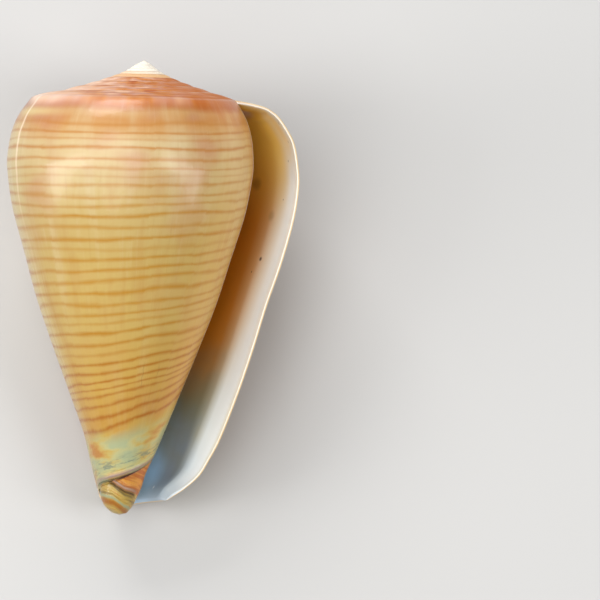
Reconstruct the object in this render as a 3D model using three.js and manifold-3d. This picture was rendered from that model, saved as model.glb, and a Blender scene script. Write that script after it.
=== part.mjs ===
// A beech cone shell, 100 mm long, lying on its back with the aperture up.
// The shell is one piece: a sheet wound about an axis from the apex to the outer lip, six whorls of which show on
// the spire. It is drawn upright, apex at the top and aperture facing -Y, and laid down at the end.
// Millimetres, +Z up. A place on the sheet has a turn, which is 0 at the lip edge and -1 one whorl back, and a
// radius and a depth below the apex in the half plane through the axis.

import * as THREE from "three";
import { mergeVertices } from "three/addons/utils/BufferGeometryUtils.js";
import Module from "manifold-3d";

// Growth
const STEPS_PER_TURN = 60;
const FIRST_TURN = -7;
const GROWTH_PER_TURN = 1.341;
const LIP_ANGLE = THREE.MathUtils.degToRad(-8); // the lip edge, seen from the apex, from +X towards the back

// Spire: the suture's radius at the lip, and its depth below the apex at each whole or half turn
const SUTURE_RADIUS = 20.2;
const SUTURE_DEPTHS = [
  [-9, 0.8], [-8, 1.15], [-7, 1.65], [-6, 2.3], [-5, 2.95], [-4, 3.65], [-3, 4.45], [-2.5, 5.0],
  [-2, 5.35], [-1.5, 6.1], [-1, 6.45], [-0.5, 7.5], [0, 7.8], [0.5, 8.8], [1, 9.0],
];
const RAMP_STEPS = 3;
const RAMP_CROWN = 0.12; // how far each whorl's top stands proud, as a share of its fall

// Body whorl: [radius, depth] from the shoulder down, half a turn back from the lip and at the lip
const BODY_BACK = [
  [24.4, 9.4], [25.1, 10.3], [27.0, 13.2], [28.4, 16.9], [29.1, 22.0], [28.9, 25.9],
  [27.5, 33.4], [24.4, 43.1], [21.3, 52.8], [17.5, 62.5], [13.5, 72.1], [9.45, 81.8],
];
const BODY_LIP = [
  [28.95, 9.95], [30.5, 11.2], [32.5, 13.9], [34.1, 16.9], [35.2, 22.0], [35.5, 26.4],
  [34.75, 33.4], [32.5, 43.1], [29.6, 52.8], [27.1, 62.5], [24.3, 72.1], [21.0, 81.8],
];
const LAST_BODY = BODY_BACK.length - 1;
const FLARE_STARTS = -0.55; // the lip side begins to swell out from the plain spiral here
const FLARE_POWER = 1.35;
const SHOULDER_SHIFT_ENDS = 45; // below this depth every whorl has the same heights

// Base edge of the body whorl, from one turn back to the lip
const BASE_EDGE = {
  turns: [-1, -0.75, -0.5, -0.4, -0.3, -0.2, -0.1, 0],
  radius: [6.2, 5.9, 5.7, 6.9, 8.0, 8.8, 9.4, 9.6],
  depth: [87.0, 91.2, 94.2, 97.2, 99.0, 98.3, 97.2, 96.2],
};
const BASE_SHARES = [0.35, 0.6, 0.8, 0.93, 1];
const BASE_BELLY = 2.5; // how far the base swells out at the lip
const BELLY_LOWNESS = 1.4; // above 1, the swelling is fullest below the middle of the base

// Columella tip below the base edge: [depth, radius, how far its centre lies to the left]
const TIP_RINGS = [
  [87.0, 6.2, 0], [90.4, 5.0, 0.3], [93.8, 4.5, 0.7], [96.0, 4.0, 1.1], [98.2, 3.0, 1.1], [99.5, 1.7, 0.9],
];
const TIP_END = { x: -0.8, depth: 100 };
const TIP_SHARES = [0.3, 0.6, 0.85];

// Aperture
const SLOT_CLOSES = -29 / STEPS_PER_TURN; // the base is open from here to the lip
const CAVITY_ENDS = -48 / STEPS_PER_TURN;
const LIP_THICKNESS = 0.9;
const WALL_THICKNESS = 2.4;
const WALL_THICKENS_OVER = 0.07;
const WALL_SHARE_OF_GAP = 0.4;
const CEILING_THICKNESS = 1.4; // under the whorl's top
const EDGE_SLANT = 0.5; // how much higher the inside of the base edge is than its outside, per unit of width

// Rest: the shell lies on its back, on a small flat spot
const REST = { lean: 16.4, flatDepth: 0.3 };
const GROUND = { width: 200, depth: 20 };

const lerp = THREE.MathUtils.lerp;

// A smooth value at x through [x, value] pairs.
function through(pairs, x) {
  const last = pairs.length - 1;
  let i = 0;
  while (i < last - 1 && x > pairs[i + 1][0]) i += 1;
  const [x0, y0] = pairs[i];
  const [x1, y1] = pairs[i + 1];
  const slope = (j) => {
    const a = pairs[Math.max(j - 1, 0)];
    const b = pairs[Math.min(j + 1, last)];
    return (b[1] - a[1]) / (b[0] - a[0]);
  };
  const run = x1 - x0;
  const u = (x - x0) / run;
  const u2 = u * u;
  const u3 = u2 * u;
  return (2 * u3 - 3 * u2 + 1) * y0 + (u3 - 2 * u2 + u) * run * slope(i)
    + (3 * u2 - 2 * u3) * y1 + (u3 - u2) * run * slope(i + 1);
}

const growth = (turn) => GROWTH_PER_TURN ** turn;
const sutureRadius = (turn) => SUTURE_RADIUS * growth(turn);
const sutureDepth = (turn) => through(SUTURE_DEPTHS, turn);
const alongEdge = (values, turn) => through(BASE_EDGE.turns.map((t, i) => [t, values[i]]), turn);
const angleAt = (turn) => LIP_ANGLE - turn * 2 * Math.PI;

function flare(turn) {
  const u = THREE.MathUtils.clamp((turn - FLARE_STARTS) / -FLARE_STARTS, 0, 1);
  return u ** FLARE_POWER;
}

// The top of a whorl, from its suture at share 0 to the next whorl's suture at share 1.
function ramp(turn, share) {
  const fall = sutureDepth(turn + 1) - sutureDepth(turn);
  return {
    radius: lerp(sutureRadius(turn), sutureRadius(turn + 1), share),
    depth: sutureDepth(turn) + fall * (share - RAMP_CROWN * Math.sin(Math.PI * share)),
  };
}

// The side of a whorl at one of the body's listed heights.
function side(turn, row) {
  const [backRadius, backDepth] = BODY_BACK[row];
  const [lipRadius, lipDepth] = BODY_LIP[row];
  const w = flare(turn);
  const shift = sutureDepth(turn) - sutureDepth(-0.5);
  const fade = THREE.MathUtils.clamp(1 - backDepth / SHOULDER_SHIFT_ENDS, 0, 1);
  return {
    radius: lerp(backRadius * growth(turn + 0.5), lipRadius * growth(turn), w),
    depth: lerp(backDepth + shift * fade, lipDepth, w),
  };
}

// The body whorl's base, from its last listed height at share 0 to its edge at share 1.
function base(turn, share) {
  const above = side(turn, LAST_BODY);
  const belly = BASE_BELLY * flare(turn) * Math.sin(Math.PI * share ** BELLY_LOWNESS);
  return {
    radius: lerp(above.radius, alongEdge(BASE_EDGE.radius, turn), share) + belly,
    depth: lerp(above.depth, alongEdge(BASE_EDGE.depth, turn), share),
  };
}

// The columella's tip at a depth, in the half plane of a turn.
function tipAt(turn, depth) {
  const radius = through(TIP_RINGS.map(([d, r]) => [d, r]), depth);
  const left = through(TIP_RINGS.map(([d, , l]) => [d, l]), depth);
  return { radius: radius - left * Math.cos(angleAt(turn)), depth };
}

// The core inside the body whorl, one turn back: its base narrows onto the tip.
const coreEdgeDepth = (turn) => lerp(
  alongEdge(BASE_EDGE.depth, SLOT_CLOSES), BASE_EDGE.depth[0], (turn - SLOT_CLOSES) / -SLOT_CLOSES);

function coreBase(turn, share) {
  const above = side(turn - 1, LAST_BODY);
  const below = tipAt(turn, coreEdgeDepth(turn));
  return {
    radius: lerp(above.radius, below.radius, share),
    depth: lerp(above.depth, below.depth, share),
  };
}

// Profiles: lists of places from the suture down
const rampProfile = (turn) => Array.from(
  { length: RAMP_STEPS + 1 }, (_, i) => ramp(turn, i / RAMP_STEPS));
const sideProfile = (turn) => BODY_BACK.map((_, row) => side(turn, row));
const baseProfile = (turn) => BASE_SHARES.map((share) => base(turn, share));
const outerProfile = (turn) => [...rampProfile(turn), ...sideProfile(turn), ...baseProfile(turn)];

function tipProfile(turn, fromDepth) {
  const rings = [0, ...TIP_SHARES].map((share) => tipAt(turn, lerp(fromDepth, TIP_END.depth, share)));
  return [...rings, "tip"];
}

// The inside of the body whorl's wall: the outside moved in by the wall's thickness. It starts in the corner where
// the wall stands on the whorl before.
function innerProfile(turn) {
  const outside = outerProfile(turn);
  const core = [...rampProfile(turn - 1), ...sideProfile(turn - 1),
    ...BASE_SHARES.map((share) => coreBase(turn, share))];
  const grown = THREE.MathUtils.clamp(-turn / WALL_THICKENS_OVER, 0, 1);
  const corner = side(turn - 1, 0);
  const inside = outside.map((p, i) => {
    const wanted = lerp(LIP_THICKNESS, i <= RAMP_STEPS ? CEILING_THICKNESS : WALL_THICKNESS, grown);
    const before = outside[Math.max(i - 1, 0)];
    const after = outside[Math.min(i + 1, outside.length - 1)];
    const run = Math.hypot(after.radius - before.radius, after.depth - before.depth);
    const room = Math.hypot(p.radius - core[i].radius, p.depth - core[i].depth);
    const thickness = Math.min(wanted, WALL_SHARE_OF_GAP * room);
    return {
      radius: p.radius - (thickness * (after.depth - before.depth)) / run,
      depth: p.depth + (thickness * (after.radius - before.radius)) / run,
    };
  });
  inside[0] = corner;
  const edge = outside[outside.length - 1];
  const end = inside.length - 1;
  inside[end].depth = edge.depth - EDGE_SLANT * (edge.radius - inside[end].radius);
  return inside;
}

const coreSide = (turn) => sideProfile(turn - 1);
const coreBelow = (turn) => [
  ...BASE_SHARES.map((share) => coreBase(turn, share)), ...tipProfile(turn, coreEdgeDepth(turn)).slice(1)];

function place(turn, p) {
  if (p === "tip") return [TIP_END.x, 0, -TIP_END.depth];
  const angle = angleAt(turn);
  return [p.radius * Math.cos(angle), p.radius * Math.sin(angle), -p.depth];
}

// Triangles, as a flat list of coordinates
const soup = [];

function quad(a, b, c, d) {
  soup.push(...a, ...b, ...c, ...a, ...c, ...d);
}

// Joins two rows of places with faces between them, each turning from the first row to the second.
function join(first, second) {
  for (let i = 0; i + 1 < first.length; i += 1) quad(first[i], second[i], second[i + 1], first[i + 1]);
}

const turnsBetween = (from, to) => {
  const count = Math.round((to - from) * STEPS_PER_TURN);
  return Array.from({ length: count + 1 }, (_, i) => Math.round(from * STEPS_PER_TURN + i) / STEPS_PER_TURN);
};

// Sweeps a profile from one turn to another. Inside surfaces face the other way.
function sweep(profile, from, to, facesIn = false) {
  const rows = turnsBetween(from, to).map((turn) => profile(turn).map((p) => place(turn, p)));
  for (let i = 0; i + 1 < rows.length; i += 1) {
    if (facesIn) join(rows[i + 1], rows[i]);
    else join(rows[i], rows[i + 1]);
  }
}

// Outside
sweep(rampProfile, FIRST_TURN, -1);
sweep(
  (turn) => [...outerProfile(turn), ...tipProfile(turn, alongEdge(BASE_EDGE.depth, turn))], -1, SLOT_CLOSES);
sweep(outerProfile, SLOT_CLOSES, 0);

// Apex: a low dome over the first turn
const apex = [0, 0, 0];
const dome = turnsBetween(FIRST_TURN, FIRST_TURN + 1).map((turn) => place(turn, ramp(turn, 0)));
const start = rampProfile(FIRST_TURN).map((p) => place(FIRST_TURN, p)).reverse();
join(dome, dome.map(() => apex));
join(start, start.map(() => apex));

// Inside of the wall, the core behind it, and the floor and end of the cavity between them
sweep(innerProfile, SLOT_CLOSES, 0, true);
sweep((turn) => innerProfile(turn).slice(0, RAMP_STEPS + 2 + LAST_BODY), CAVITY_ENDS, SLOT_CLOSES, true);
sweep(coreSide, CAVITY_ENDS, SLOT_CLOSES);
sweep((turn) => [...coreSide(turn), ...coreBelow(turn)], SLOT_CLOSES, 0);
sweep(
  (turn) => [coreSide(turn)[LAST_BODY], innerProfile(turn)[RAMP_STEPS + 1 + LAST_BODY]],
  CAVITY_ENDS, SLOT_CLOSES);

// A wall across the cavity, between the core and the inside of the wall.
function bulkhead(turn, from, to) {
  const inner = innerProfile(turn).map((p) => place(turn, p));
  const core = [...rampProfile(turn).map(() => coreSide(turn)[0]), ...coreSide(turn), ...coreBelow(turn)]
    .map((p) => place(turn, p));
  for (let i = from; i < to; i += 1) quad(core[i], core[i + 1], inner[i + 1], inner[i]);
  return { inner, core };
}
const lastInner = RAMP_STEPS + 1 + LAST_BODY;
bulkhead(CAVITY_ENDS, 0, lastInner);
const edgeColumn = lastInner + BASE_SHARES.length;
const closing = bulkhead(SLOT_CLOSES, lastInner, edgeColumn);
const closingEdge = place(SLOT_CLOSES, base(SLOT_CLOSES, 1));
soup.push(...closing.core[edgeColumn], ...closingEdge, ...closing.inner[edgeColumn]);

// Lip edge and base edge
const lipOutside = outerProfile(0).map((p) => place(0, p));
const lipInside = innerProfile(0).map((p) => place(0, p));
for (let i = 0; i + 1 < lipOutside.length; i += 1) {
  quad(lipInside[i], lipInside[i + 1], lipOutside[i + 1], lipOutside[i]);
}
sweep((turn) => [base(turn, 1), innerProfile(turn).at(-1)], SLOT_CLOSES, 0);

// Lays the shell on its back, cuts the small flat spot that it rests on, and puts the origin under its middle.
async function layDown(triangles) {
  const geometry = new THREE.BufferGeometry();
  geometry.setAttribute("position", new THREE.Float32BufferAttribute(triangles, 3));
  geometry.rotateX(THREE.MathUtils.degToRad(REST.lean - 90));
  geometry.computeBoundingBox();
  geometry.translate(0, 0, -geometry.boundingBox.min.z - REST.flatDepth);
  const merged = mergeVertices(geometry, 1e-4);
  const wasm = await Module();
  wasm.setup();
  const solid = (g, triVerts) => new wasm.Manifold(new wasm.Mesh({
    numProp: 3, vertProperties: new Float32Array(g.getAttribute("position").array), triVerts,
  }));
  const index = merged.index.array;
  const kept = [];
  for (let i = 0; i < index.length; i += 3) {
    const [a, b, c] = index.slice(i, i + 3);
    if (a !== b && b !== c && c !== a) kept.push(a, b, c);
  }
  const shell = solid(merged, new Uint32Array(kept));
  const ground = new THREE.BoxGeometry(GROUND.width, GROUND.width, GROUND.depth)
    .translate(0, 0, -GROUND.depth / 2);
  ground.deleteAttribute("normal");
  ground.deleteAttribute("uv");
  const block = mergeVertices(ground);
  const rested = shell.subtract(solid(block, new Uint32Array(block.index.array))).getMesh();
  const result = new THREE.BufferGeometry();
  result.setAttribute("position", new THREE.BufferAttribute(rested.vertProperties, 3));
  result.setIndex(new THREE.BufferAttribute(rested.triVerts, 1));
  result.computeBoundingBox();
  const middle = result.boundingBox.getCenter(new THREE.Vector3());
  result.translate(-middle.x, -middle.y, 0);
  result.computeVertexNormals();
  return result;
}

const shell = new THREE.Mesh(
  await layDown(soup),
  new THREE.MeshStandardMaterial({ color: 0xe0b070, roughness: 0.3, metalness: 0 }),
);
shell.name = "shell";

const group = new THREE.Group();
group.add(shell);

export default group;
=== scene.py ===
import math

import bmesh
import bpy
import numpy as np
from mathutils import Matrix, Vector


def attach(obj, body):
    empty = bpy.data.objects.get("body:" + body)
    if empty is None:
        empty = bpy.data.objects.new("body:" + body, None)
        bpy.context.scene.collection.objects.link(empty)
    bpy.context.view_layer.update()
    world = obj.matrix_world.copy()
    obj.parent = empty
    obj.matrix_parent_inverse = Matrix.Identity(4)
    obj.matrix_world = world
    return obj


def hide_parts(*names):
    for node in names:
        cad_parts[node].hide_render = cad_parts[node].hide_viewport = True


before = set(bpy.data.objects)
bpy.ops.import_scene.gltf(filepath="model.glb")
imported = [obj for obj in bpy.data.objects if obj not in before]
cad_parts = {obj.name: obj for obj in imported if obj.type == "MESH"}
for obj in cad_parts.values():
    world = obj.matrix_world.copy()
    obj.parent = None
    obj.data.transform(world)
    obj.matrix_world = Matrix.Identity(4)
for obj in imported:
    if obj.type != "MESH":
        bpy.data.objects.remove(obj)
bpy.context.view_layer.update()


# The shell: one sheet of aragonite, wound about an axis from the apex to the outer lip. The animal laid it
# down at its growing edge and sealed the inside with a smooth glaze. It is made upright here, in millimetres,
# apex up and aperture towards -Y, and laid on its back at the end, as the CAD part is.

# A place on the sheet has a turn, a radius and a depth below the apex. The turn is 0 at the lip edge, -0.25
# mid-back, -0.5 at the left edge, -0.75 in the middle of the aperture side and -1 a whole whorl back.

MARKS_PER_TURN = 240
FIRST_TURN = -9
GROWTH_PER_TURN = 1.341
LIP_ANGLE = math.radians(-8)

SUTURE_RADIUS = 20.2
SUTURE_DEPTHS = [
    (-9, 0.8), (-8, 1.15), (-7, 1.65), (-6, 2.3), (-5, 2.95), (-4, 3.65), (-3, 4.45), (-2.5, 5.0),
    (-2, 5.35), (-1.5, 6.1), (-1, 6.45), (-0.5, 7.5), (0, 7.8), (0.5, 8.8), (1, 9.0),
]
RAMP_CROWN = 0.12
RAMP_KEYS = (0, 0.5, 1)

BODY_BACK = np.array([
    (24.4, 9.4), (25.1, 10.3), (27.0, 13.2), (28.4, 16.9), (29.1, 22.0), (28.9, 25.9),
    (27.5, 33.4), (24.4, 43.1), (21.3, 52.8), (17.5, 62.5), (13.5, 72.1), (9.45, 81.8),
])
BODY_LIP = np.array([
    (28.95, 9.95), (30.5, 11.2), (32.5, 13.9), (34.1, 16.9), (35.2, 22.0), (35.5, 26.4),
    (34.75, 33.4), (32.5, 43.1), (29.6, 52.8), (27.1, 62.5), (24.3, 72.1), (21.0, 81.8),
])
FLARE_STARTS = -0.55
FLARE_POWER = 1.35
SHOULDER_SHIFT_ENDS = 45

BASE_TURNS = (-1, -0.75, -0.5, -0.4, -0.3, -0.2, -0.1, 0)
BASE_RADII = (6.2, 5.9, 5.7, 6.9, 8.0, 8.8, 9.4, 9.6)
BASE_DEPTHS = (87.0, 91.2, 94.2, 97.2, 99.0, 97.9, 96.9, 96.1)
BASE_SHARES = (0.35, 0.6, 0.8, 0.93, 1)
BASE_BELLY = 2.5
BELLY_LOWNESS = 1.4

TIP_DEPTHS = (87.0, 90.4, 93.8, 96.0, 98.2, 99.5)
TIP_RADII = (6.2, 5.0, 4.5, 4.0, 3.0, 1.7)
TIP_LEFTS = (0, 0.3, 0.7, 1.1, 1.1, 0.9)
TIP_END = (-0.8, 100)

SLOT_CLOSES = -29 / 60
CAVITY_ENDS = -0.8
LIP_THICKNESS = 0.6
WALL_THICKNESS = 2.4
WALL_THICKENS_OVER = 0.07
WALL_SHARE_OF_GAP = 0.4
CEILING_THICKNESS = 1.4
EDGE_SLANT = 0.5

LEAN = math.radians(16.4)
FLAT_DEPTH = 0.3


def through(xs, ys, x):
    """A smooth value at each x through the given points."""
    xs, ys, x = np.array(xs, float), np.array(ys, float), np.asarray(x, float)
    slopes = np.gradient(ys)
    slopes[1:-1] = (ys[2:] - ys[:-2]) / (xs[2:] - xs[:-2])
    slopes[0] = (ys[1] - ys[0]) / (xs[1] - xs[0])
    slopes[-1] = (ys[-1] - ys[-2]) / (xs[-1] - xs[-2])
    i = np.clip(np.searchsorted(xs, x, side="left") - 1, 0, len(xs) - 2)
    run = xs[i + 1] - xs[i]
    u = (x - xs[i]) / run
    return (
        (2 * u**3 - 3 * u**2 + 1) * ys[i] + (u**3 - 2 * u**2 + u) * run * slopes[i]
        + (3 * u**2 - 2 * u**3) * ys[i + 1] + (u**3 - u**2) * run * slopes[i + 1]
    )


def blend(a, b, share):
    return a + (b - a) * share


def ease(low, high, x):
    u = np.clip((x - low) / (high - low), 0, 1)
    return u * u * (3 - 2 * u)


def angle_at(turn):
    return LIP_ANGLE - turn * 2 * math.pi


def growth(turn):
    return GROWTH_PER_TURN**turn


def suture(turn):
    depths = through(*zip(*SUTURE_DEPTHS), turn)
    return np.stack([SUTURE_RADIUS * growth(turn), depths], -1)


def flare(turn):
    return np.clip((turn - FLARE_STARTS) / -FLARE_STARTS, 0, 1) ** FLARE_POWER


def ramp(turn, share):
    """The top of a whorl, from its suture at share 0 to the next whorl's suture at share 1."""
    inner, outer = suture(turn), suture(turn + 1)
    place = blend(inner, outer, share)
    place[..., 1] -= RAMP_CROWN * (outer - inner)[..., 1] * math.sin(math.pi * share)
    return place


def side(turn):
    """The side of a whorl at each of the body's listed heights: turns x heights x (radius, depth)."""
    turn = np.asarray(turn, float)[:, None]
    shift = through(*zip(*SUTURE_DEPTHS), turn) - through(*zip(*SUTURE_DEPTHS), -0.5)
    fade = np.clip(1 - BODY_BACK[:, 1] / SHOULDER_SHIFT_ENDS, 0, 1)
    w = flare(turn)
    radius = blend(BODY_BACK[:, 0] * growth(turn + 0.5), BODY_LIP[:, 0] * growth(turn), w)
    depth = blend(BODY_BACK[:, 1] + shift * fade, BODY_LIP[:, 1], w)
    return np.stack([radius, depth], -1)


def base_edge(turn):
    return np.stack([through(BASE_TURNS, BASE_RADII, turn), through(BASE_TURNS, BASE_DEPTHS, turn)], -1)


def outer_keys(turn):
    """The profile of the sheet's outside, from the suture to the base edge."""
    above, edge = side(turn), base_edge(turn)
    belly = BASE_BELLY * flare(turn)
    base = []
    for share in BASE_SHARES:
        place = blend(above[:, -1], edge, share)
        place[:, 0] += belly * math.sin(math.pi * share**BELLY_LOWNESS)
        base.append(place)
    return np.concatenate([np.stack([ramp(turn, s) for s in RAMP_KEYS], 1), above, np.stack(base, 1)], 1)


def tip_at(turn, depth):
    """The columella's tip at a depth, in the half plane of a turn."""
    radius = through(TIP_DEPTHS, TIP_RADII, depth)
    left = through(TIP_DEPTHS, TIP_LEFTS, depth)
    return np.stack([radius - left * np.cos(angle_at(turn)), depth * np.ones_like(radius)], -1)


def core_edge_depth(turn):
    slot_depth = through(BASE_TURNS, BASE_DEPTHS, SLOT_CLOSES)
    return blend(slot_depth, BASE_DEPTHS[0], (turn - SLOT_CLOSES) / -SLOT_CLOSES)


def core_keys(turn):
    """The profile of the core behind the cavity, which is the whorl before. Its base narrows onto the tip."""
    above = side(turn - 1)
    below = tip_at(turn, core_edge_depth(turn))
    base = [blend(above[:, -1], below, share) for share in BASE_SHARES]
    return np.concatenate([np.stack([ramp(turn - 1, s) for s in RAMP_KEYS], 1), above, np.stack(base, 1)], 1)


def inner_keys(turn):
    """The inside of the body whorl's wall. It starts in the corner where the wall stands on the core."""
    outside, core = outer_keys(turn), core_keys(turn)
    deepest = np.where(np.arange(outside.shape[1]) < len(RAMP_KEYS), CEILING_THICKNESS, WALL_THICKNESS)
    wanted = blend(LIP_THICKNESS, deepest, np.clip(-turn / WALL_THICKENS_OVER, 0, 1)[:, None])
    along = np.zeros_like(outside)
    along[:, 1:-1] = outside[:, 2:] - outside[:, :-2]
    along[:, 0] = outside[:, 1] - outside[:, 0]
    along[:, -1] = outside[:, -1] - outside[:, -2]
    along /= np.linalg.norm(along, axis=-1, keepdims=True)
    room = np.linalg.norm(outside - core, axis=-1)
    thickness = np.minimum(wanted, WALL_SHARE_OF_GAP * room)[..., None]
    inside = outside + thickness * np.stack([-along[..., 1], along[..., 0]], -1)
    inside[:, 0] = core[:, len(RAMP_KEYS)]
    inside[:, -1, 1] = outside[:, -1, 1] - EDGE_SLANT * (outside[:, -1, 0] - inside[:, -1, 0])
    return inside


# Rows down the profile: more of them between the keys that are far apart, and one on every key.
ROWS_BETWEEN_KEYS = [5, 5, 6, 2, 5, 5, 6, 6, 8, 10, 10, 10, 9, 9, 7, 5, 4, 3, 2]
BODY_KEYS = len(RAMP_KEYS) + len(BODY_BACK)


def row_places(counts):
    return np.concatenate([[0]] + [i + np.arange(1, n + 1) / n for i, n in enumerate(counts)])


def smooth_rows(keys, places):
    """Rows on a smooth curve through each turn's keys."""
    last = keys.shape[1] - 1
    i = np.minimum(places.astype(int), last - 1)
    u = (places - i)[None, :, None]
    before = np.where((i > 0)[None, :, None], keys[:, np.maximum(i - 1, 0)], 2 * keys[:, i] - keys[:, i + 1])
    after = np.where(
        (i + 2 <= last)[None, :, None],
        keys[:, np.minimum(i + 2, last)], 2 * keys[:, i + 1] - keys[:, i])
    start, end = keys[:, i], keys[:, i + 1]
    return 0.5 * (
        2 * start + (end - before) * u + (2 * before - 5 * start + 4 * end - after) * u**2
        + (3 * start - before - 3 * end + after) * u**3
    )


PROFILE = row_places(ROWS_BETWEEN_KEYS)
CORNER_ROW = sum(ROWS_BETWEEN_KEYS[:3])
RAMP_END_ROW = sum(ROWS_BETWEEN_KEYS[:2])
LAST_SIDE_ROW = sum(ROWS_BETWEEN_KEYS[:BODY_KEYS - 1])
TIP_ROWS = 14


def marks(start, end):
    """The turns from start to end at which the sheet is drawn, the same places in every whorl."""
    first, last = round(start * MARKS_PER_TURN), round(end * MARKS_PER_TURN)
    return np.arange(first, last + 1) / MARKS_PER_TURN


def round_about(turn, rows):
    """Puts rows of (radius, depth) round the axis."""
    angle = angle_at(turn)[:, None]
    return np.stack(
        [rows[..., 0] * np.cos(angle), rows[..., 0] * np.sin(angle), -rows[..., 1]], -1)


shell_mesh = bmesh.new()
growth_map = shell_mesh.loops.layers.uv.new("growth")
place_map = shell_mesh.loops.layers.uv.new("place")
line_map = shell_mesh.loops.layers.uv.new("lines")
scar_map = shell_mesh.loops.layers.uv.new("scars")
crease_map = shell_mesh.loops.layers.uv.new("creases")

# Spiral lines: the depth of each on the left side, half a turn back from the lip, and how strong it is
LINES = (
    (14.7, 0.55), (16.7, 0.9), (18.3, 0.4), (20.1, 1.0), (22.4, 0.8), (24.6, 0.75), (26.4, 0.35), (28.3, 0.8),
    (30.7, 0.75), (32.7, 0.7), (34.8, 1.0), (37.5, 0.7), (40.4, 1.0), (42.4, 0.35), (44.5, 0.9), (47.1, 0.9),
    (49.4, 0.8), (52.1, 0.95), (54.7, 0.8), (56.9, 0.9), (58.8, 0.45), (60.9, 1.0), (63.6, 0.9), (65.5, 0.4),
    (67.5, 1.0), (69.6, 1.0), (71.8, 1.0), (73.4, 0.7), (74.8, 0.8), (76.7, 0.8), (79.1, 0.9), (81.6, 1.0),
)
LINE_CLIMB = 0.85  # a line gets deeper with this power of the whorls' growth
# The lines sag below that climb on the aperture side: by how many millimetres at each level, and where
SAG_LEVELS = (10, 20, 30, 45, 60, 75, 85)
SAGS = (0.1, 0.5, 0.9, 1.3, 1.5, 2.2, 2.8)
SAG_TURNS = (-1, -0.97, -0.87, -0.7, -0.57, -0.45, -0.3, -0.1, 0)
SAG_SHARES = (0, 0.05, 0.7, 1, 0.8, 0.4, 0.35, 0.1, 0)


def line_count(turn, depth):
    """How many spiral lines lie above a place, its level, and the strength of the nearest line."""
    level = depth * growth(-LINE_CLIMB * (turn + 0.5))
    depths, strengths = zip(*LINES)
    level = level - np.interp(level, SAG_LEVELS, SAGS) * np.interp(turn, SAG_TURNS, SAG_SHARES)
    count = np.interp(level, (0, *depths, 110), (-6, *range(len(LINES)), len(LINES) + 8))
    return count, level, np.interp(level, depths, strengths)


# Two healed breaks of the lip, left and right as seen from the back: their turn at each depth
SCAR_DEPTHS = (8, 10, 12, 14, 22, 33, 44, 55, 66, 75, 83, 89, 95)
LEFT_SCAR = (
    -0.25, -0.247, -0.245, -0.244, -0.246, -0.249, -0.254, -0.258, -0.256, -0.262, -0.29, -0.34, -0.42)
RIGHT_SCAR = (
    -0.376, -0.37, -0.365, -0.362, -0.364, -0.375, -0.382, -0.383, -0.388, -0.397, -0.422, -0.455, -0.475)


# A crease crosses the columella's tip on the aperture side: its turn and depth
CREASE_TURNS = (-1.0, -0.839, -0.78, -0.73, -0.686, -0.6)
CREASE_DEPTHS = (96.0, 94.7, 94.3, 93.4, 92.5, 92.2)


def from_scar(turn, depth, radius, scar):
    """How far a place is from a scar, along the growth and in millimetres."""
    return (turn - np.interp(depth, SCAR_DEPTHS, scar)) * 2 * math.pi * radius


def sheet(turn, rows, inside, coords=None, top=False):
    """Adds a strip of the sheet, one column for each turn, and writes its places into the shell's maps."""
    columns, heights = rows.shape[:2]
    points = round_about(turn, rows) if coords is None else coords
    turns = np.broadcast_to(turn[:, None], (columns, heights)) if np.ndim(turn) == 1 else turn
    lines, level, strength = line_count(turns, rows[..., 1])
    hollow = np.broadcast_to(inside, (columns, heights))
    share = np.interp(np.arange(heights), (0, RAMP_END_ROW), (0, 1)) if top else np.full(heights, 1.0)
    share = np.broadcast_to(share, (columns, heights))
    scars = [from_scar(turns, rows[..., 1], rows[..., 0], scar) for scar in (LEFT_SCAR, RIGHT_SCAR)]
    below_edge = rows[..., 1] - base_edge(turns)[..., 1]
    below_crease = rows[..., 1] - np.interp(turns, CREASE_TURNS, CREASE_DEPTHS)
    made = bmesh.ops.create_grid(shell_mesh, x_segments=columns - 1, y_segments=heights - 1, size=0.5)
    grid = {}
    for vert in made["verts"]:
        i = round((vert.co.x + 0.5) * (columns - 1))
        j = round((vert.co.y + 0.5) * (heights - 1))
        grid[vert] = (i, j)
    faces = {face for vert in made["verts"] for face in vert.link_faces}
    for vert, (i, j) in grid.items():
        vert.co = points[i, j]
    for face in faces:
        for loop in face.loops:
            i, j = grid[loop.vert]
            loop[growth_map].uv = (turns[i, j], lines[i, j])
            loop[place_map].uv = (level[i, j], hollow[i, j])
            loop[line_map].uv = (strength[i, j], share[i, j])
            loop[scar_map].uv = (scars[0][i, j], scars[1][i, j])
            loop[crease_map].uv = (below_edge[i, j], below_crease[i, j])


# The spire's whorls, then the body whorl's outside down to the base edge
spire = marks(FIRST_TURN, -1)
spire_keys = np.stack([ramp(spire, s) for s in RAMP_KEYS], 1)
sheet(spire, smooth_rows(spire_keys, row_places(ROWS_BETWEEN_KEYS[:2])), 0, top=True)
body = marks(-1, 0)
body_rows = smooth_rows(outer_keys(body), PROFILE)
sheet(body, body_rows, 0, top=True)

# A low dome over the first whorl
first_whorl = marks(FIRST_TURN, FIRST_TURN + 1)
dome_edge = ramp(first_whorl, 0)[:, None]
dome_top = dome_edge * [0.0, 0.0]
sheet(first_whorl, np.concatenate([dome_top, dome_edge * [0.5, 0.55], dome_edge], 1), 0, top=True)
start_keys = spire_keys[:1]
start_rows = smooth_rows(start_keys, row_places(ROWS_BETWEEN_KEYS[:2]))
sheet(np.array([FIRST_TURN, FIRST_TURN]), np.concatenate([start_rows * [0, 0], start_rows], 0), 0, top=True)

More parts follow.
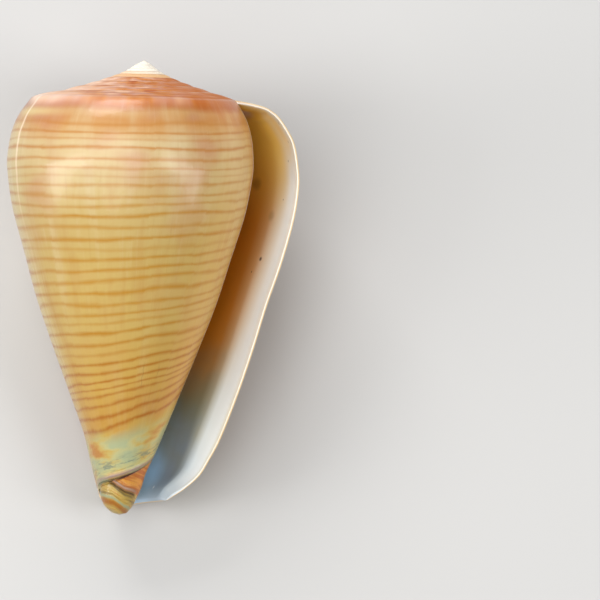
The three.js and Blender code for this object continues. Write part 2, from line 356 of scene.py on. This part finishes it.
# The inside of the wall, and the core behind the cavity
open_turns = marks(SLOT_CLOSES, 0)
deep_turns = marks(CAVITY_ENDS, SLOT_CLOSES)
inner_open = smooth_rows(inner_keys(open_turns), PROFILE)
inner_deep = smooth_rows(inner_keys(deep_turns), PROFILE)[:, :LAST_SIDE_ROW + 1]
core_open = smooth_rows(core_keys(open_turns), PROFILE)[:, CORNER_ROW:]
core_deep = smooth_rows(core_keys(deep_turns), PROFILE)[:, CORNER_ROW:LAST_SIDE_ROW + 1]
sheet(open_turns, inner_open, 1)
sheet(deep_turns, inner_deep, 1)
sheet(open_turns, core_open, 1)
sheet(deep_turns, core_deep, 1)

# The floor of the cavity and the wall at its end
floor_rows = np.stack([core_deep[:, -1], inner_deep[:, -1]], 1)
sheet(deep_turns, floor_rows, 1)
end_core = np.concatenate([np.repeat(core_deep[:1, :1], CORNER_ROW, 1), core_deep[:1]], 1)
sheet(np.array([CAVITY_ENDS] * 2), np.concatenate([end_core, inner_deep[:1]], 0), 1)
slot_core = core_open[:1, LAST_SIDE_ROW - CORNER_ROW:]
sheet(np.array([deep_turns[-1]] * 2), np.concatenate([slot_core, inner_open[:1, LAST_SIDE_ROW:]], 0), 1)

# The columella's tip: below the base edge on the outside, and below the core in the slot
EDGE_ROWS = ROWS_BETWEEN_KEYS[2]


def tip_rows(turn, from_depth):
    """From a starting depth down to the point, closer together towards it."""
    share = np.sin(np.arange(TIP_ROWS + 1) / TIP_ROWS * math.pi / 2)
    depth = blend(np.asarray(from_depth)[:, None], TIP_DEPTHS[-1], share[None])
    rows = tip_at(turn[:, None], depth)
    return rows


closed_turns = marks(-1, deep_turns[-1])
closed_tip = tip_rows(closed_turns, base_edge(closed_turns)[:, 1])
open_tip = tip_rows(open_turns, core_edge_depth(open_turns))
sheet(closed_turns, closed_tip, 0)
sheet(open_turns, open_tip, 0)
ledge_share = (np.arange(EDGE_ROWS + 1) / EDGE_ROWS)[None, :, None]
ledge = blend(base_edge(closed_turns)[:, None], closed_tip[:, :1], ledge_share)
sheet(closed_turns, ledge, 0)
for turns, columns in ((closed_turns, closed_tip), (open_turns, open_tip)):
    ring = round_about(turns, columns)[:, -1:]
    point = np.broadcast_to([TIP_END[0], 0.0, -TIP_END[1]], ring.shape)
    sheet(turns, np.concatenate([columns[:, -1:]] * 2, 1), 0, np.concatenate([ring, point], 1))

# The lip edge and the base edge: the outside rolls over to the inside. Along the lip the roll starts at the
# suture and turns downward at the base, each over a few rows.
ROLL = 0.35
ROLL_FADE_ROWS = 12
roll_angle = np.arange(EDGE_ROWS + 1) / EDGE_ROWS * math.pi


def rolled(outside, inside, bulge):
    """Columns over a rounded edge from the outside's points to the inside's."""
    middle, half = (outside + inside) / 2, (outside - inside) / 2
    return np.stack([middle + half * math.cos(a) + bulge * math.sin(a) for a in roll_angle], 0)


lip_turn = np.zeros(1)
lip_out = round_about(lip_turn, body_rows[-1:])[0]
lip_in = round_about(lip_turn, inner_open[-1:])[0]
forward = np.array([math.sin(LIP_ANGLE), -math.cos(LIP_ANGLE), 0])
downward = np.array([0, 0, -1.0])
rows = np.arange(len(PROFILE))
to_base = ease(len(PROFILE) - ROLL_FADE_ROWS, len(PROFILE) - 1, rows)[:, None]
from_top = ease(0, ROLL_FADE_ROWS, rows)[:, None]
lip_facing = forward * np.cos(to_base * math.pi / 4) + downward * np.sin(to_base * math.pi / 4)
lip_bulge = ROLL * from_top * lip_facing
lip_roll = rolled(lip_out, lip_in, lip_bulge)
lip_roll[:, 0] = round_about(np.array([-1.0]), body_rows[:1, RAMP_END_ROW:CORNER_ROW + 1])[0]
lip_hollow = np.broadcast_to((np.arange(EDGE_ROWS + 1) / EDGE_ROWS)[:, None], lip_roll.shape[:2])
lip_rows = np.stack([blend(body_rows[-1], inner_open[-1], s) for s in lip_hollow[:, 0]], 0)
sheet(np.zeros(EDGE_ROWS + 1), lip_rows, lip_hollow, lip_roll)

edge_start = body_rows[-len(open_turns):, -1:]
edge_out = round_about(open_turns, edge_start)[:, 0]
edge_in = round_about(open_turns, inner_open[:, -1:])[:, 0]
to_lip = ease(-0.05, 0, open_turns)[:, None]
edge_bulge = ROLL * (forward * np.sin(to_lip * math.pi / 4) + downward * np.cos(to_lip * math.pi / 4))
edge_roll = np.swapaxes(rolled(edge_out, edge_in, edge_bulge), 0, 1)
edge_rows = np.stack([blend(edge_start[:, 0], inner_open[:, -1], s) for s in lip_hollow[:, 0]], 1)
sheet(open_turns, edge_rows, np.broadcast_to(lip_hollow[:, 0], edge_roll.shape[:2]), edge_roll)

# The strips are welded, the one small gap at the slot's end is filled, and the shell is laid on its back.
WELD = 0.0015
bmesh.ops.remove_doubles(shell_mesh, verts=shell_mesh.verts, dist=WELD)
loose = [e for e in shell_mesh.edges if len(e.link_faces) == 1]
bmesh.ops.holes_fill(shell_mesh, edges=loose, sides=0)
bmesh.ops.recalc_face_normals(shell_mesh, faces=shell_mesh.faces)
bmesh.ops.transform(shell_mesh, verts=shell_mesh.verts, matrix=Matrix.Rotation(LEAN - math.pi / 2, 4, "X"))
lowest = min(v.co.z for v in shell_mesh.verts)
for vert in shell_mesh.verts:
    vert.co.z = max(vert.co.z - lowest - FLAT_DEPTH, 0)
low = [min(v.co[i] for v in shell_mesh.verts) for i in (0, 1)]
high = [max(v.co[i] for v in shell_mesh.verts) for i in (0, 1)]
middle = Vector((-(low[0] + high[0]) / 2, -(low[1] + high[1]) / 2, 0))
bmesh.ops.translate(shell_mesh, verts=shell_mesh.verts, vec=middle)
TRIM = (0.998, 0.999, 0.9975)  # takes off what the smooth curves stand out past the faceted solid
bmesh.ops.scale(shell_mesh, verts=shell_mesh.verts, vec=[0.001 * t for t in TRIM])
for face in shell_mesh.faces:
    face.smooth = True
data = bpy.data.meshes.new("shell_body")
shell_mesh.to_mesh(data)
shell = bpy.data.objects.new("shell_body", data)
bpy.context.collection.objects.link(shell)

aragonite = bpy.data.materials.new("aragonite")
aragonite.use_nodes = True
paint = aragonite.node_tree
shader = paint.nodes["Principled BSDF"]


def put(kind, **settings):
    made = paint.nodes.new("ShaderNode" + kind)
    for name, value in settings.items():
        setattr(made, name, value)
    return made


def plug(socket, value):
    if isinstance(value, bpy.types.NodeSocket):
        paint.links.new(value, socket)
    else:
        socket.default_value = value


def maths(operation, *values):
    made = put("Math", operation=operation)
    for socket, value in zip(made.inputs, values):
        plug(socket, value)
    return made.outputs[0]


def span(value, low, high, start=0.0, end=1.0):
    """Eases from start to end as the value goes from low to high."""
    made = put("MapRange", interpolation_type="SMOOTHSTEP")
    for socket, given in zip(made.inputs, (value, low, high, start, end)):
        plug(socket, given)
    return made.outputs[0]


def colour(code):
    channels = [int(code[i:i + 2], 16) / 255 for i in (0, 2, 4)]
    return (*[c / 12.92 if c <= 0.04045 else ((c + 0.055) / 1.055) ** 2.4 for c in channels], 1)


def both(*shares):
    """The product of the shares: full only where each of them is."""
    share = shares[0]
    for other in shares[1:]:
        share = maths("MULTIPLY", share, other)
    return share


def over(under, top, *shares, how="MIX"):
    """Lays one colour over another, where all the shares meet."""
    made = put("Mix", data_type="RGBA", blend_type=how)
    plug(made.inputs[0], both(*shares))
    for socket, given in ((made.inputs[6], under), (made.inputs[7], top)):
        plug(socket, colour(given) if isinstance(given, str) else given)
    return made.outputs[2]


def shades(value, *stops):
    """A run of colours along a value from 0 to 1."""
    made = put("ValToRGB")
    elements = made.color_ramp.elements
    for i, (place, code) in enumerate(stops):
        element = elements[i] if i < 2 else elements.new(place)
        element.position, element.color = place, colour(code)
    plug(made.inputs[0], value)
    return made.outputs[0]


def grid_noise(across, down, detail=2.0, roughness=0.5):
    """Noise on the sheet itself, stretched by how finely it runs across the growth and down the profile."""
    joined = put("CombineXYZ")
    plug(joined.inputs[0], across)
    plug(joined.inputs[1], down)
    made = put("TexNoise", noise_dimensions="2D")
    plug(made.inputs["Vector"], joined.outputs[0])
    plug(made.inputs["Scale"], 1.0)
    plug(made.inputs["Detail"], detail)
    plug(made.inputs["Roughness"], roughness)
    return made.outputs[0]


def two_from(name):
    made = put("SeparateXYZ")
    plug(made.inputs[0], put("UVMap", uv_map=name).outputs[0])
    return made.outputs[0], made.outputs[1]


turn, line = two_from("growth")
level, hollow = two_from("place")
strength, ramp_share = two_from("lines")
left_scar, right_scar = two_from("scars")
below_edge, below_crease = two_from("creases")


def across(times):
    return maths("MULTIPLY", turn, times)


def down(times):
    return maths("MULTIPLY", level, times)


def near(value, middle, reach, core=0.0):
    """1 at the middle, easing to 0 at the reach."""
    return span(maths("ABSOLUTE", maths("SUBTRACT", value, middle)), core, reach, 1.0, 0.0)


# Parts of the body whorl: after, between and before the two healed breaks, and the whole of the back
wander = grid_noise(across(7.0), down(0.08), 3.0)
unsteady = span(grid_noise(across(4.0), down(0.14), 2.0), 0.3, 0.7, -0.35, 0.35)
left_gap = maths("ADD", left_scar, unsteady)
right_gap = maths("ADD", right_scar, unsteady)
newest = span(left_gap, 0.0, 0.5)
between = both(span(left_gap, 0.4, -0.4), span(right_gap, -0.3, 0.3))
oldest = both(span(right_gap, 0.3, -0.3), span(turn, -0.62, -0.54))
on_back = span(turn, -0.6, -0.5)

# Ground colour from the shoulder to the base, broken up by broad and fine streaks that follow the growth.
# A place's level is how deep its spiral line lies on the left side, and the ramp runs over a hundredth of it.
patch_size = span(level, 10.0, 50.0, 0.5, 3.0)
patchy_level = maths("ADD", level, maths("MULTIPLY", span(wander, 0.2, 0.8, -1.0, 1.0), patch_size))
ground = shades(
    maths("DIVIDE", patchy_level, 100.0),
    (0.075, "A85426"), (0.108, "C4743A"), (0.122, "E2B078"), (0.137, "DCA062"), (0.156, "E2B076"),
    (0.185, "E8CC9C"), (0.28, "E2C68C"), (0.42, "DEBE74"), (0.6, "E0BE70"), (0.74, "E0B45C"),
    (0.82, "DAA650"), (0.86, "D8B85C"), (0.9, "D2CB8E"), (0.94, "DEBE58"), (0.98, "BE8E3C"),
)
streak = grid_noise(across(22.0), down(0.03), 3.0, 0.55)
ground = over(ground, "F4E2BC", span(streak, 0.5, 0.8, 0.0, 0.4), span(level, 60.0, 40.0, 0.3, 1.0))
ground = over(ground, "CC9048", span(streak, 0.46, 0.22, 0.0, 0.3))
fine_streak = grid_noise(across(150.0), down(0.06), 3.0, 0.6)
ground = over(ground, "BC8440", span(fine_streak, 0.55, 0.8, 0.0, 0.12))
ground = over(ground, "F8E8C8", span(fine_streak, 0.45, 0.25, 0.0, 0.1), span(level, 60.0, 40.0))
blush = grid_noise(across(9.0), down(0.06), 2.0)
ground = over(ground, "D89078", span(blush, 0.48, 0.7, 0.0, 0.55), span(level, 14.0, 50.0, 1.0, 0.15))

# Pale yellow, mauve and orange patches run along the shoulder
front_left = near(turn, -0.58, 0.12)
ground = over(ground, "FCE2A4", front_left, near(level, 12.4, 1.5), 0.8)
ground = over(ground, "C88C88", near(turn, -0.83, 0.07), near(level, 12.6, 2.2), span(blush, 0.35, 0.6), 0.6)
ground = over(ground, "CE7030", near(turn, -0.93, 0.08), near(level, 12.0, 3.0), span(wander, 0.6, 0.4), 0.65)

# On the back the shoulder is dark brown with a ragged lower edge, and the colour changes at each healed break
flame = grid_noise(across(28.0), down(0.1), 3.0, 0.55)
ragged_level = maths("ADD", level, span(flame, 0.3, 0.7, 0.5, -0.5))
ground = over(ground, "C98D5E", newest, span(ragged_level, 12.0, 24.0, 0.75, 0.0))
ground = over(ground, "D88C34", between, span(ragged_level, 14.0, 24.0, 0.85, 0.0))
ground = over(ground, "E0A070", between, near(level, 30.0, 16.0), 0.6)
ground = over(ground, "DC9440", between, span(level, 55.0, 75.0, 0.0, 0.6))
ground = over(ground, "9C5230", between, span(right_gap, 9.0, 1.0), span(ragged_level, 16.0, 44.0, 0.75, 0.0))
ground = over(ground, "F2E2B4", oldest, span(level, 13.0, 17.0, 0.0, 0.6), span(level, 60.0, 80.0, 1.0, 0.4))
ground = over(ground, "E4BC98", newest, span(level, 14.0, 20.0, 0.0, 0.5), span(level, 80.0, 60.0, 0.3, 1.0))
ground = over(ground, "C9B4A0", newest, span(streak, 0.5, 0.7, 0.0, 0.4))
ground = over(ground, "9C480C", on_back, span(ragged_level, 10.4, 13.4, 0.95, 0.0))
ground = over(ground, "6A2410", on_back, span(ragged_level, 9.4, 12.0, 0.6, 0.0), span(flame, 0.5, 0.62))
ground = over(ground, "C46A34", on_back, span(level, 70.0, 86.0, 0.0, 0.5), span(wander, 0.35, 0.6))

# Spiral lines, which bend and shift a little wherever growth paused
wobble = grid_noise(across(5.0), maths("MULTIPLY", line, 0.35), 3.0)
pause = put("TexWhiteNoise", noise_dimensions="1D")
plug(pause.inputs["W"], maths("FLOOR", maths("ADD", across(13.0), maths("MULTIPLY", wobble, 0.6))))
bend = maths("ADD", span(wobble, 0.2, 0.8, -0.2, 0.2), span(pause.outputs[0], 0.0, 1.0, -0.06, 0.06))
bend = maths("ADD", bend, both(on_back, span(wobble, 0.2, 0.8, -0.22, 0.22)))
bend = maths("ADD", bend, both(between, 0.14))
moved = maths("ADD", line, bend)
number = maths("ROUND", moved)
away = maths("ABSOLUTE", maths("SUBTRACT", moved, number))
broken = grid_noise(across(30.0), maths("MULTIPLY", number, 3.7), 3.0, 0.65)
width = maths("SUBTRACT", span(broken, 0.3, 0.7, 0.3, 0.38), maths("MULTIPLY", on_back, 0.04))
mark = span(away, -0.06, width, 1.0, 0.0)
in_lines = both(span(line, -0.6, -0.4), span(line, 31.4, 31.7, 1.0, 0.0))
stronger = maths("MINIMUM", maths("ADD", strength, maths("MULTIPLY", on_back, 0.25)), 1.0)
mark = both(mark, stronger, span(broken, 0.25, 0.6, 0.75, 1.0), in_lines)
line_colour = over(over("CC8C14", "BA6810", span(level, 56.0, 78.0)), "B8580E", on_back)
line_colour = over(line_colour, "CE842C", span(level, 34.0, 18.0))
outside = over(ground, line_colour, mark, 0.9)

# Two hairline cracks low on the aperture side: the turn of each, and the levels between which it runs
CRACKS = ((-0.806, 68.0, 76.0), (-0.846, 69.0, 74.0))
CRACK_FADE = 3.0
crawl = maths("MULTIPLY", span(grid_noise(0.0, down(0.5), 3.0), 0.2, 0.8, -1.0, 1.0), 0.0018)
for crack_turn, crack_top, crack_end in CRACKS:
    crack = near(maths("ADD", maths("SUBTRACT", turn, crack_turn), crawl), 0.0, 0.0014)
    starts = span(level, crack_top, crack_top + CRACK_FADE)
    stretch = both(starts, span(level, crack_end, crack_end - CRACK_FADE))
    outside = over(outside, "84602C", crack, stretch, 0.4)

# The base: mottled orange, yellow and greenish white, with grey-green streaks along the base edge
mottle = grid_noise(across(6.0), maths("MULTIPLY", below_edge, 0.26), 3.0, 0.5)
base_colour = shades(mottle, (0.36, "BCC8A4"), (0.48, "D4D09A"), (0.57, "DEC070"), (0.7, "D48C38"))
base_zone = span(below_edge, -12.0, -7.0, 0.0, 0.9)
outside = over(outside, base_colour, base_zone, span(below_edge, 0.1, 0.0))
film = grid_noise(across(11.0), maths("MULTIPLY", below_edge, 1.1), 4.0, 0.65)
outside = over(outside, "869084", near(below_edge, -3.0, 2.6), span(film, 0.47, 0.62, 0.0, 0.75))
outside = over(outside, "E2D690", near(below_edge, -1.6, 1.2), span(film, 0.55, 0.4, 0.0, 0.6))
outside = over(outside, "B49A92", near(below_edge, -0.7, 0.75), span(film, 0.3, 0.6, 0.4, 1.0))

# The columella's tip, with its fold and crease
on_tip = span(below_edge, 0.0, 0.12)
rings = grid_noise(across(3.0), maths("MULTIPLY", below_crease, 0.9), 3.0, 0.55)
tip_colour = shades(rings, (0.3, "8E7840"), (0.42, "BC9C4C"), (0.55, "D8B864"), (0.7, "D09640"))
tip_colour = over(tip_colour, "B87424", near(below_crease, 4.6, 1.4))
tip_colour = over(tip_colour, "B4BA96", near(below_crease, 3.4, 0.6))
fold_colour = over("F0A84C", "D07C38", span(rings, 0.4, 0.6))
tip_colour = over(tip_colour, fold_colour, span(below_crease, 0.1, -0.2))
on_front = both(span(turn, -0.92, -0.86), span(turn, -0.64, -0.68))
tip_colour = over(tip_colour, "C4A08C", near(below_crease, -0.6, 0.6), on_front)
# Painted shadow: a dark line just under the crease on the aperture side
tip_colour = over(tip_colour, "5E3018", near(below_crease, 0.25, 0.4), on_front, 0.9)
outside = over(outside, tip_colour, on_tip)
# Painted shadow: a dark line in the groove just below the base edge on the aperture side
fold_shadow = both(near(below_edge, 0.3, 0.5), span(turn, -0.9, -0.86), span(turn, -0.68, -0.76))
outside = over(outside, "5A2012", fold_shadow)

# Painted shade: the outside is darkened most beside the left edge, less on the aperture side and the back
facing_shade = over("CCC9BC", "ECE0C6", span(turn, -0.8, -0.95))
facing_shade = over(facing_shade, "D7D6CE", near(turn, -0.75, 0.17, 0.05))
facing_shade = over(facing_shade, "E2D8C8", span(turn, -0.52, -0.42))
outside = over(outside, facing_shade, 1.0, how="MULTIPLY")

# The spire: brown whorls with a pale thread at each suture, tan and then white towards the apex
whorl = grid_noise(across(17.0), maths("MULTIPLY", ramp_share, 1.3), 2.0, 0.5)
top = shades(whorl, (0.3, "B85E24"), (0.45, "D48C4C"), (0.56, "D09880"), (0.75, "F0C4A0"))
furrow = grid_noise(across(2.0), maths("MULTIPLY", ramp_share, 5.0), 2.0, 0.5)
top = over(top, "984414", span(furrow, 0.5, 0.3, 0.0, 0.45))
lip_side = maths("COSINE", maths("MULTIPLY", turn, 2 * math.pi))
# Painted highlight: the spire is paler on its left side, where the light falls
top = over(top, "FCE0C8", span(lip_side, 0.0, -1.0), span(ramp_share, 0.2, 0.7, 0.5, 1.0), 0.6)
back_side = maths("SINE", maths("MULTIPLY", turn, 2 * math.pi))
top = over(top, "A04C14", span(back_side, -0.1, -0.9, 0.0, 0.75))
top = over(top, "C06A24", span(lip_side, 0.1, 0.9, 0.0, 0.75))
top = over(top, "7A2E10", span(turn, -0.55, -0.45), span(flame, 0.35, 0.6, 0.4, 0.85))
top = over(top, "ECC8AC", span(ramp_share, 0.1, 0.02, 0.0, 0.6), span(whorl, 0.4, 0.6, 0.4, 1.0))
top = over(top, "ECC08C", span(turn, -3.9, -4.9, 0.0, 0.9))
top = over(top, "FCF4E4", span(turn, -5.2, -6.2))
on_spire = span(ramp_share, 0.97, 0.93)
on_shoulder = both(span(patchy_level, 12.0, 8.8, 0.0, 0.9), span(turn, -0.5, -0.56))
outside = over(outside, top, maths("MAXIMUM", on_spire, on_shoulder))

# Healed breaks: a pale thread each, brown beside it at the shoulder, and a pale haze before the left one. A
# fainter thread runs a little before the right one.
SCAR_BACK = 2.7
haze = both(span(left_gap, -4.5, -0.6), span(left_gap, 0.2, -0.2), span(level, 40.0, 60.0, 0.3, 0.6))
outside = over(outside, "D6C8AC", haze)
outside = over(outside, "7C3A26", near(left_gap, 1.1, 0.6), span(level, 40.0, 14.0, 0.05, 0.8))
outside = over(outside, "7C3A26", near(right_gap, 1.2, 0.7), span(level, 30.0, 14.0, 0.1, 0.8))
healed = both(span(level, 93.0, 88.0), span(grid_noise(across(8.0), down(0.25), 3.0), 0.3, 0.5, 0.6, 0.95))
outside = over(outside, "C6C4C8", near(left_gap, 0.0, 0.7), healed)
outside = over(outside, "C8C5C6", near(right_gap, 0.0, 0.65), healed)
older = near(maths("ADD", right_gap, SCAR_BACK), 0.0, 0.6)
outside = over(outside, "CCC6B6", older, healed, span(level, 86.0, 76.0, 0.0, 0.75))
specks = grid_noise(0.0, down(3.0), 2.0, 0.7)
in_speck = span(specks, 0.55, 0.65)
outside = over(outside, "5A3420", near(right_gap, -1.2, 0.3), in_speck, span(level, 30.0, 40.0))

# Two thin pale growth lines, one near the left edge and one between the breaks
GROWTH_LINES = (
    (-0.578, 0.005, "F6E6CC", (16.0, 40.0, 0.45, 0.05)), (-0.342, 0.0025, "E6BCA4", (25.0, 50.0, 0.3, 0.0)))
for line_turn, reach, code, fade in GROWTH_LINES:
    thread = maths("ADD", maths("SUBTRACT", turn, line_turn), maths("MULTIPLY", unsteady, 0.004))
    outside = over(outside, code, near(thread, 0.0, reach), span(level, *fade))

# Inside: glaze, white at the lip, amber further in and blue-grey towards the base, with painted light and
# shade
depth_in = maths("MULTIPLY", turn, -1.0)
# Painted highlight: the whitest strip just inside the lip, in each ramp. The amber deeper in is painted light
# through the wall and painted shade
amber = shades(
    depth_in, (0.0, "FCF8EE"), (0.02, "FCFFFF"), (0.035, "FAF8F2"), (0.056, "EEDCC4"), (0.076, "E0B078"),
    (0.1, "D68C34"), (0.13, "D4881C"), (0.18, "D08010"))
# Painted shade: the olive and grey-blue ramps darken deeper in
olive = shades(
    depth_in, (0.0, "EAE2CC"), (0.012, "F8FAF8"), (0.05, "F2F6F4"), (0.072, "B4B09A"), (0.1, "8A866A"),
    (0.14, "8A8468"), (0.25, "8A8A7C"))
pearl = shades(
    depth_in, (0.0, "E4E2D8"), (0.012, "F6FAFC"), (0.045, "ECF4F8"), (0.068, "B8C6D2"), (0.092, "7E8A9C"),
    (0.13, "8898AC"), (0.17, "AACCE8"), (0.3, "A0C8E8"))
drift = span(wander, 0.2, 0.8, -4.0, 4.0)
glaze = over(amber, olive, span(maths("ADD", level, drift), 48.0, 74.0))
glaze = over(glaze, pearl, span(maths("ADD", level, drift), 68.0, 86.0))
stained = span(grid_noise(across(16.0), down(0.12), 4.0, 0.6), 0.58, 0.72, 0.0, 0.3)
glaze = over(glaze, "C8964C", stained, span(depth_in, 0.08, 0.11), span(level, 70.0, 55.0))
# Painted light: the top of the inside, under the overhanging ceiling, is made lighter and yellower as if well
# lit
glaze = over(glaze, "FFD864", span(level, 34.0, 12.0), span(depth_in, 0.03, 0.06), 0.85)
glaze = over(glaze, "FFDC8C", span(level, 22.0, 11.0), near(depth_in, 0.03, 0.03), 0.85)
glaze = over(glaze, "ECD8E0", near(level, 8.0, 3.0, 1.0), near(depth_in, 0.1, 0.03), 0.8)
glaze = over(glaze, "B8CCDC", span(below_edge, -6.0, -0.5, 0.0, 0.7))

# Spots in the glaze: turn, level, radius in millimetres, colour and strength. The white one is a painted
# glint
GLAZE_SPOTS = (
    (-0.067, 38.1, 0.6, "3A1C0C", 0.9), (-0.079, 40.9, 0.3, "4A2C10", 0.7),
    (-0.012, 11.0, 0.35, "5A4020", 0.7), (-0.02, 14.5, 0.3, "6A5438", 0.6),
    (-0.037, 18.3, 0.3, "6A5438", 0.6), (-0.05, 26.0, 0.25, "5A4020", 0.6),
    (-0.113, 23.6, 1.8, "6E4C10", 0.35), (-0.071, 29.5, 1.5, "6E4C10", 0.25),
    (-0.167, 75.1, 0.4, "5A5A48", 0.6), (-0.142, 85.6, 0.45, "FFFFFF", 0.9))
MM_IN_A_TURN = 150.0
for spot_turn, spot_level, size, code, strongest in GLAZE_SPOTS:
    aside = maths("MULTIPLY", maths("SUBTRACT", turn, spot_turn), MM_IN_A_TURN)
    above = maths("SUBTRACT", level, spot_level)
    distance = maths("SQRT", maths("ADD", maths("MULTIPLY", aside, aside), maths("MULTIPLY", above, above)))
    glaze = over(glaze, code, span(distance, size, size * 0.2, 0.0, strongest))

# The glaze stops where the slot closes, and its edge at the lip is a thin tan rim
slot_end = both(near(turn, SLOT_CLOSES, 0.03, 0.01), span(below_edge, -1.5, -0.5))
everything = over(outside, glaze, span(hollow, 0.0, 0.12), maths("SUBTRACT", 1.0, slot_end))
everything = over(everything, "E0C498", near(hollow, 0.3, 0.28, 0.1))
plug(shader.inputs["Base Color"], everything)

# Relief in millimetres: growth striae, a faint grain, low folds, the ridges of the healed breaks, the creases
# at the base and on the tip, and the furrows of the spire. The glaze keeps almost none of it.
striae = grid_noise(across(320.0), down(0.12), 4.0, 0.65)
folds = grid_noise(across(70.0), down(0.05), 3.0, 0.55)
grain = put("TexNoise")
plug(grain.inputs["Vector"], put("TexCoord").outputs["Object"])
plug(grain.inputs["Scale"], 1100.0)
parts = [
    both(striae, span(on_back, 0.0, 1.0, 0.028, 0.06), span(level, 90.0, 60.0, 0.3, 1.0)),
    maths("MULTIPLY", grain.outputs[0], 0.02),
    maths("MULTIPLY", folds, 0.07),
    maths("MULTIPLY", near(left_gap, 0.0, 1.2), 0.25),
    maths("MULTIPLY", near(right_gap, 0.0, 1.1), 0.22),
    both(near(maths("ADD", right_gap, SCAR_BACK), 0.0, 1.0), span(level, 86.0, 76.0), 0.15),
    maths("MULTIPLY", near(below_edge, -0.7, 0.9), 0.3),
    maths("MULTIPLY", near(below_edge, 0.3, 0.5), -0.35),
    both(on_front, on_tip, near(below_crease, -0.6, 0.7), 0.3),
    both(on_front, on_tip, near(below_crease, 0.25, 0.45), -0.35),
    both(on_tip, rings, 0.3),
    both(span(ramp_share, 0.98, 0.9), furrow, 0.22),
]
relief = parts[0]
for part in parts[1:]:
    relief = maths("ADD", relief, part)
bump = put("Bump")
plug(bump.inputs["Height"], maths("MULTIPLY", relief, span(hollow, 0.0, 1.0, 1.0, 0.02)))
plug(bump.inputs["Strength"], 1.0)
plug(bump.inputs["Distance"], 0.001)
plug(shader.inputs["Normal"], bump.outputs[0])

# The finish: glossy, with a clear coat outside. The worn spire is dull and has no coat.
dull = both(on_spire, span(hollow, 0.5, 0.0))
coat = maths("SUBTRACT", 0.2, maths("MULTIPLY", dull, 0.2))
plug(shader.inputs["Roughness"], maths("ADD", 0.3, maths("MULTIPLY", dull, 0.4)))
plug(shader.inputs["Specular IOR Level"], 0.35)
plug(shader.inputs["Coat Weight"], both(coat, span(hollow, 1.0, 0.5)))
plug(shader.inputs["Coat Roughness"], 0.12)
data.materials.append(aragonite)

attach(shell, "root")
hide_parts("shell")


# The floor: a plain pale table top that the shell lies on. It is one flat matt sheet that reaches past the
# picture on every side.
FLOOR_REACH = 3
floor_mesh = bmesh.new()
bmesh.ops.create_grid(floor_mesh, x_segments=1, y_segments=1, size=FLOOR_REACH)
floor_data = bpy.data.meshes.new("floor")
floor_mesh.to_mesh(floor_data)
floor = bpy.data.objects.new("floor", floor_data)
bpy.context.collection.objects.link(floor)
table_top = bpy.data.materials.new("table_top")
table_top.use_nodes = True
floor_shader = table_top.node_tree.nodes["Principled BSDF"]
floor_shader.inputs["Base Color"].default_value = (0.52, 0.515, 0.505, 1)
floor_shader.inputs["Roughness"].default_value = 0.8
floor_data.materials.append(table_top)


# The lights: a large soft box over the shell, a little to the left and in front, narrower ones on the left,
# on the right and behind, and a dim even sky. Each box is a flat rectangle that faces the shell.
LIGHTS_AIM = Vector((0, 0.01, 0.03))


def soft_box(name, place, size, power):
    light = bpy.data.lights.new(name, "AREA")
    light.shape = "RECTANGLE"
    light.size, light.size_y = size
    light.energy = power
    lamp = bpy.data.objects.new(name, light)
    lamp.location = place
    lamp.rotation_euler = (LIGHTS_AIM - Vector(place)).to_track_quat("-Z", "Y").to_euler()
    bpy.context.collection.objects.link(lamp)


soft_box("front_box", (-0.34, -0.26, 1.02), (0.9, 0.9), 8.6)
soft_box("left_box", (-0.72, -0.15, 0.35), (0.25, 0.6), 3.6)
soft_box("right_box", (0.5, -0.15, 0.5), (0.2, 0.6), 2.3)
soft_box("back_box", (-0.25, 0.75, 0.55), (0.6, 0.3), 5.0)
sky = bpy.data.worlds.new("sky")
sky.use_nodes = True
sky.node_tree.nodes["Background"].inputs["Color"].default_value = (1, 1, 1, 1)
sky.node_tree.nodes["Background"].inputs["Strength"].default_value = 0.2
bpy.context.scene.world = sky
bpy.context.scene.view_settings.view_transform = "Standard"


# The camera: a long lens over the shell, nearly square to its axis. It is turned until the middle of the
# outline lies where the photograph has it, and rolled a little, as the shell there leans.
PICTURE_PIXELS = 600
PIXEL_MM = 0.2181  # what one pixel of the picture covers at the shell
SENSOR_MM = 36
DISTANCE = 0.9
SHELL_MIDDLE_HEIGHT = 0.03
ELEVATION = math.degrees(math.pi / 2 - LEAN) + 2
ROLL_RIGHT = math.radians(2.7)
SHELL_IN_PICTURE = (153.5, 287.5)  # the middle of the shell's outline, in pixels from the top left
camera_data = bpy.data.cameras.new("camera")
camera_data.sensor_width = SENSOR_MM
camera_data.lens = SENSOR_MM * DISTANCE / (PICTURE_PIXELS * PIXEL_MM / 1000)
camera = bpy.data.objects.new("camera", camera_data)
bpy.context.collection.objects.link(camera)
bpy.context.scene.camera = camera
tilt = math.radians(ELEVATION)
back = Vector((0, -math.cos(tilt), math.sin(tilt)))
turn_to = (-back).to_track_quat("-Z", "Y").to_matrix() @ Matrix.Rotation(ROLL_RIGHT, 3, "Z")
eye = Vector((0, 0, SHELL_MIDDLE_HEIGHT)) + back * DISTANCE
picture = [(turn_to.transposed() @ (v.co - eye)) for v in data.vertices]
sideways = [p.x / -p.z for p in picture]
upward = [p.y / -p.z for p in picture]
step = SENSOR_MM / PICTURE_PIXELS / camera_data.lens
off_x, off_y = ((pixel - PICTURE_PIXELS / 2) * step for pixel in SHELL_IN_PICTURE)
aim_x = (max(sideways) + min(sideways)) / 2 - off_x
aim_y = (max(upward) + min(upward)) / 2 + off_y
look = turn_to @ Vector((aim_x, aim_y, -1))
swing = (turn_to @ Vector((0, 0, -1))).rotation_difference(look)
camera.rotation_mode = "QUATERNION"
camera.rotation_quaternion = swing @ turn_to.to_quaternion()
camera.location = eye
camera_data.clip_start, camera_data.clip_end = 0.05, 20
